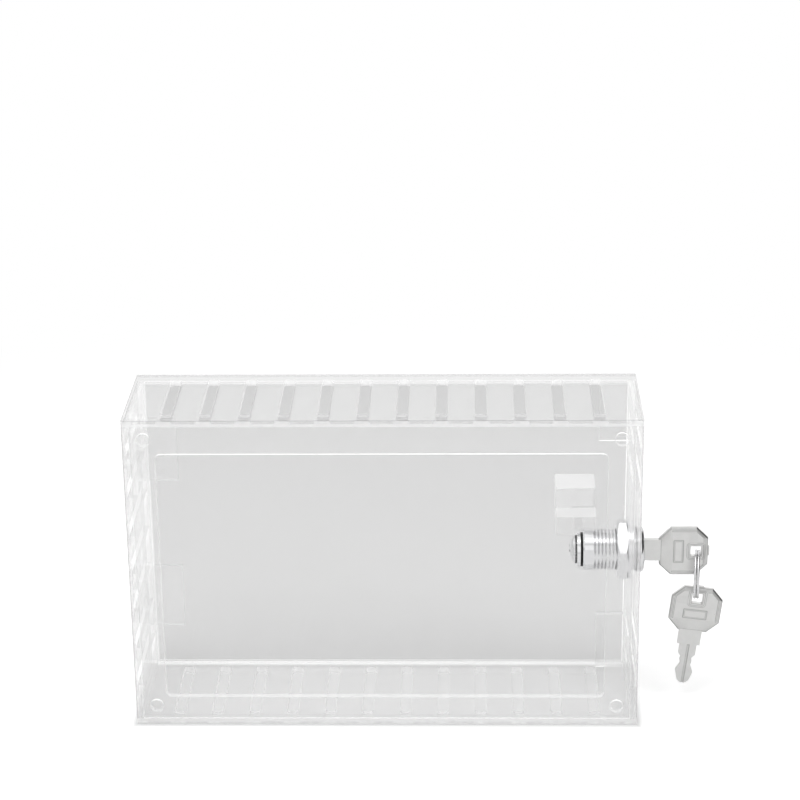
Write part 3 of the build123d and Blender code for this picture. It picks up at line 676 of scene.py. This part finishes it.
def worn_metal_group():
    """Roughness wanders around Middle by Spread, on a fine noise. The colour wanders with it, by the share
    TARNISH below CLEANEST."""
    group = bpy.data.node_groups.new("worn_metal", "ShaderNodeTree")
    socket(group, "Colour", "Color", value=grey(0.8))
    socket(group, "Middle", "Float", value=0.2)
    socket(group, "Spread", "Float", value=0.1)
    socket(group, "Colour Out", "Color", out=True)
    socket(group, "Roughness", "Float", out=True)
    given = add_node(group, "NodeGroupInput").outputs
    result = add_node(group, "NodeGroupOutput").inputs
    place = add_node(group, "ShaderNodeTexCoord")
    noise = add_node(group, "ShaderNodeTexNoise", Scale=WEAR_SCALE, Detail=4.0, Roughness=0.6)
    join(group, place.outputs["Object"], noise.inputs["Vector"])
    swing = number(group, "SUBTRACT", noise.outputs[0], 0.5)
    rough = number(group, "ADD", number(group, "MULTIPLY", swing, given["Spread"]), given["Middle"])
    join(group, rough, result["Roughness"])
    dim = number(group, "MULTIPLY_ADD", noise.outputs[0], -TARNISH, CLEANEST)
    join(group, scaled(group, given["Colour"], dim), result["Colour Out"])
    return group


worn_metal = worn_metal_group()

CREASE_REACH = 0.8 * MM
CREASE_SAMPLES = 8
CREASE_POWER = 0.9
SLOPE_FROM_EDGEWAYS = (0.3, 0.5)
SLOPE_FROM_FLAT = (0.995, 0.93)
SLOPE_TONE = 0.58
BAND_TONE = 0.22
RIM_THICKNESS = 0.8 * MM


def metal(name, colour, middle, spread, flat_along=None, dark_band=None):
    """A metal of the given colour, its roughness from the shared group. Its creases get painted shade: the
    colour is darkened by the open share of the sky there to the power CREASE_POWER. flat_along is the axis its
    broad faces look along, if the slopes between them get painted shade. dark_band is a stretch along X, from
    start to end, darkened with painted shade."""
    material, tree, surface = blank_material(name)
    worn = add_node(tree, "ShaderNodeGroup", {"node_tree": worn_metal})
    worn.inputs["Colour"].default_value = (*colour, 1.0)
    worn.inputs["Middle"].default_value = middle
    worn.inputs["Spread"].default_value = spread
    shader = add_node(tree, "ShaderNodeBsdfPrincipled", Metallic=1.0)
    # Painted shade in creases and gaps, from the share of open sky close by.
    reach = {"samples": CREASE_SAMPLES, "only_local": True}
    painted_crease_shade = add_node(tree, "ShaderNodeAmbientOcclusion", reach, Distance=CREASE_REACH)
    open_share = number(tree, "POWER", painted_crease_shade.outputs["AO"], CREASE_POWER)
    shade = scaled(tree, worn.outputs["Colour Out"], open_share)
    place = add_node(tree, "ShaderNodeTexCoord")
    # Painted shade on the stamping: slopes between the broad faces are darkened, so the relief reads as fine
    # lines.
    if flat_along:
        facing = number(tree, "ABSOLUTE", components(tree, place.outputs["Normal"])[flat_along])
        mirror_grey_and_slope_shade = number(tree, "MULTIPLY", clamped(tree, facing, *SLOPE_FROM_EDGEWAYS),
                      clamped(tree, facing, *SLOPE_FROM_FLAT))
        shade = scaled(tree, shade, blend(tree, mirror_grey_and_slope_shade, 1.0, SLOPE_TONE))
    # A band of painted shade along X, standing in for the shade where the screw meets the cam.
    if dark_band:
        x = components(tree, place.outputs["Object"])["X"]
        in_band = number(tree, "MULTIPLY", number(tree, "GREATER_THAN", x, dark_band[0]),
                         number(tree, "LESS_THAN", x, dark_band[1]))
        shade = scaled(tree, shade, blend(tree, in_band, 1.0, BAND_TONE))
    join(tree, shade, shader.inputs["Base Color"])
    join(tree, worn.outputs["Roughness"], shader.inputs["Roughness"])
    join(tree, shader.outputs[0], surface)
    return material


PLATING = ((0.86, 0.86, 0.87), 0.20, 0.08)
FINISHES = {
    "bright_plating": metal("bright_plating", *PLATING),
    "spring_steel": metal("spring_steel", (0.84, 0.84, 0.85), 0.22, 0.08),
    "wafer_brass": metal("wafer_brass", (0.80, 0.62, 0.30), 0.28, 0.10),
    "key_nickel": metal("key_nickel", (0.79, 0.79, 0.78), 0.30, 0.12, flat_along="Y"),
}
for entry in frame["record"]["subparts"]:
    if entry["material_slot"] in FINISHES:
        paint(entry["node"], FINISHES[entry["material_slot"]])
cam_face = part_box("lock_cam")[0][0]
# Painted shade on the screw's rim, just before the cam's face.
paint("cam_screw", metal("screw_plating", *PLATING, dark_band=(cam_face - RIM_THICKNESS, cam_face)))
# The stop washer is near black: painted shade for the gap between the cam and the barrel.
paint("stop_washer", metal("painted_gap_shade_steel", (0.03, 0.03, 0.03), 0.45, 0.10))
print("metal finishes:", sorted(FINISHES))

# %% [markdown]
# ## Stamped relief on the keys
#
# Each key's bow is pressed on both faces: a raised rim, a bar with a lip, a ridge round the ring hole, and two
# fields of fine dots for grip. The height over the plate is one formula of two places: u along the key from
# the blade's end of the bow, and v across it, in millimetres. It is sampled on a grid whose lines run along
# the bow's clipped outline and along the ring hole, so that neither is cut jaggedly. The border dips under the
# plate's face, and a Solidify modifier closes the sheet.


# %% Height of the stamping
BOW_LENGTH = 21.3
BOW_HALF_WIDTH = 11.3
BOW_END_HALF_WIDTH = 6.25
BOW_CORNER = 5.1
KEY_FACE = 1.1
SHEET_INSET = 0.5
HOLE_START, HOLE_END, HOLE_HALF = 13.7, 18.4, 2.35
BAR_START, BAR_END, BAR_HALF = 6.3, 10.5, 5.2
FIELD_END = 5.4
PAD_START, PAD_END, PAD_LOW, PAD_HIGH = 13.0, 16.6, 3.8, 8.8
DOT_PITCH = 0.75
DOT_RISE = 0.12
GROUND = 0.05
GROUND_STEP = 0.08
FIELD_SLOPE, FIELD_FADE, PAD_FADE = 0.4, 0.5, 0.3
RIM_INSET, RIM_HALF, RIM_RISE, RIM_FADE = 1.6, 0.5, 0.16, 0.8
BAR_RISE, BAR_FOOT, BAR_SHOULDER = 0.24, 0.2, 0.1
LIP_INSET, LIP_HALF, LIP_RISE = 0.3, 0.4, 0.14
EYE_OUTSET, EYE_HALF, EYE_RISE = 1.3, 0.6, 0.16
EYE_FADE_START, EYE_FADE_END = 0.6, 1.2
BORDER_FADE = 0.35
GRID_STEP = 0.17
BURIED = 0.08
SHEET_THICKNESS = 0.25


def rise(x, start, end):
    """3 t^2 - 2 t^3, where t runs from 0 at start to 1 at end."""
    t = np.clip((x - start) / (end - start), 0.0, 1.0)
    return t * t * (3.0 - 2.0 * t)


def ridge(x, half_width):
    """(1 - (x / w)^2)^2 within the half width w, 0 beyond it."""
    t = np.clip(np.abs(x) / half_width, 0.0, 1.0)
    return (1.0 - t * t) ** 2


def bow_half(u):
    """Half width of the clipped bow at u."""
    ends = [0.0, BOW_CORNER, BOW_LENGTH - BOW_CORNER, BOW_LENGTH]
    return np.interp(u, ends, [BOW_END_HALF_WIDTH, BOW_HALF_WIDTH, BOW_HALF_WIDTH, BOW_END_HALF_WIDTH])


def from_rectangle(u, v, start, end, low, high):
    """Signed distance to a rectangle, negative inside: |max(q, 0)| + min(max(q), 0), q the excess per axis."""
    along = np.abs(u - (start + end) / 2) - (end - start) / 2
    across = np.abs(v - (low + high) / 2) - (high - low) / 2
    outside = np.hypot(np.maximum(along, 0.0), np.maximum(across, 0.0))
    return outside + np.minimum(np.maximum(along, across), 0.0)


def stamped_height(u, v):
    """Height of the stamping over the plate's face, in mm: the ground, then the rim, the dots, the bar, its lip
    and the ridge round the ring hole, added up, and sunk under the face at the border and the hole."""
    edge = np.minimum(bow_half(u) - np.abs(v), np.minimum(u, BOW_LENGTH - u))
    height = GROUND + GROUND_STEP * rise(u, FIELD_END, FIELD_END + FIELD_SLOPE)
    height += RIM_RISE * ridge(edge - RIM_INSET, RIM_HALF) * rise(u, FIELD_END, FIELD_END + RIM_FADE)
    dots = 0.5 + 0.5 * np.cos(2 * np.pi * u / DOT_PITCH) * np.cos(2 * np.pi * v / DOT_PITCH)
    pad = from_rectangle(u, v, PAD_START, PAD_END, PAD_LOW, PAD_HIGH)
    dotted = np.maximum(1.0 - rise(u, FIELD_END - FIELD_FADE, FIELD_END), 1.0 - rise(pad, -PAD_FADE, 0.0))
    height += DOT_RISE * dots * dotted
    bar = from_rectangle(u, v, BAR_START, BAR_END, -BAR_HALF, BAR_HALF)
    height += (BAR_RISE - height) * (1.0 - rise(bar, -BAR_SHOULDER, BAR_FOOT))
    height += LIP_RISE * ridge(bar + LIP_INSET, LIP_HALF)
    hole = from_rectangle(u, v, HOLE_START, HOLE_END, -HOLE_HALF, HOLE_HALF)
    past_bar = rise(u, BAR_END + EYE_FADE_START, BAR_END + EYE_FADE_END)
    height += EYE_RISE * ridge(hole - EYE_OUTSET, EYE_HALF) * past_bar
    shown = rise(edge, SHEET_INSET, SHEET_INSET + BORDER_FADE) * rise(hole, 0.0, BORDER_FADE)
    return height * shown - BURIED * (1.0 - shown)


def stretch(*stops):
    """Places from the first stop to the last that pass through every stop, about a grid step apart."""
    parts = []
    for a, b in zip(stops, stops[1:]):
        parts.append(np.linspace(a, b, max(2, round(abs(b - a) / GRID_STEP) + 1))[:-1])
    return np.concatenate([*parts, stops[-1:]])


# %% Build and hang the relief
RING_ALONG_BOW = 16.9
HANG_ALONG_BOW = 17.3
SPARE_TILT = math.radians(7.0)
SPARE_SHIFT = 0.7

u_line = stretch(SHEET_INSET, HOLE_START, HOLE_END, BOW_LENGTH - SHEET_INSET)
share = stretch(-BOW_HALF_WIDTH, -HOLE_HALF, HOLE_HALF, BOW_HALF_WIDTH)
u, flat = np.meshgrid(u_line, share, indexing="ij")
room = (bow_half(u) - SHEET_INSET - HOLE_HALF) / (BOW_HALF_WIDTH - HOLE_HALF)
v = np.where(np.abs(flat) > HOLE_HALF, np.sign(flat) * (HOLE_HALF + (np.abs(flat) - HOLE_HALF) * room), flat)
height = KEY_FACE + stamped_height(u, v)
number_of = np.arange(u.size).reshape(u.shape)
corners = np.stack([number_of[:-1, :-1], number_of[1:, :-1], number_of[1:, 1:], number_of[:-1, 1:]], axis=-1)
middle_u = (u[:-1, :-1] + u[1:, :-1]) / 2
middle_v = (v[:-1, :-1] + v[:-1, 1:]) / 2
solid = (middle_u < HOLE_START) | (middle_u > HOLE_END) | (np.abs(middle_v) > HOLE_HALF)
towards_wall = corners[solid]
towards_door = towards_wall[:, ::-1] + u.size
print("relief grid:", u.shape, "faces a side:", len(towards_wall))


def key_relief(name, body, root, turn):
    """Both stamped faces of one key. root is the blade end of its bow and turn its angle from level."""
    along = np.concatenate([u.ravel(), u.ravel()])
    across = np.concatenate([v.ravel(), v.ravel()])
    out = np.concatenate([-height.ravel(), height.ravel()])
    points = np.stack([math.cos(turn) * along + math.sin(turn) * across, out,
                       -math.sin(turn) * along + math.cos(turn) * across], axis=1)
    mesh = bpy.data.meshes.new(name)
    mesh.from_pydata((points * MM + np.array(root)).tolist(), [],
                     np.concatenate([towards_wall, towards_door]).tolist())
    mesh.shade_smooth()
    piece = bpy.data.objects.new(name, mesh)
    scene.collection.objects.link(piece)
    closed = piece.modifiers.new("closed", "SOLIDIFY")
    closed.thickness = SHEET_THICKNESS * MM
    closed.offset = -1.0
    mesh.materials.append(FINISHES["key_nickel"])
    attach(piece, body)
    return piece


joints = {joint["name"]: Vector(joint["pos_m"]) for joint in frame["record"]["behaviour"]["joints"]
          if "pos_m" in joint}
bow_low, bow_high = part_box("inserted_key")
bow_middle = (bow_low[2] + bow_high[2]) / 2
inserted_root = (joints["ring_swing"].x - RING_ALONG_BOW * MM, joints["ring_swing"].y, bow_middle)
hang = joints["spare_key_swing"] + Vector((SPARE_SHIFT, 0.0, 0.0)) * MM
spare_root = (hang.x - HANG_ALONG_BOW * MM * math.sin(SPARE_TILT), hang.y,
              hang.z - HANG_ALONG_BOW * MM * math.cos(SPARE_TILT))
relief = [key_relief("inserted_key_relief", "inserted_key", inserted_root, 0.0),
          key_relief("spare_key_relief", "spare_key", spare_root, SPARE_TILT - math.pi / 2)]
print("relief pieces:", [piece.name for piece in relief])
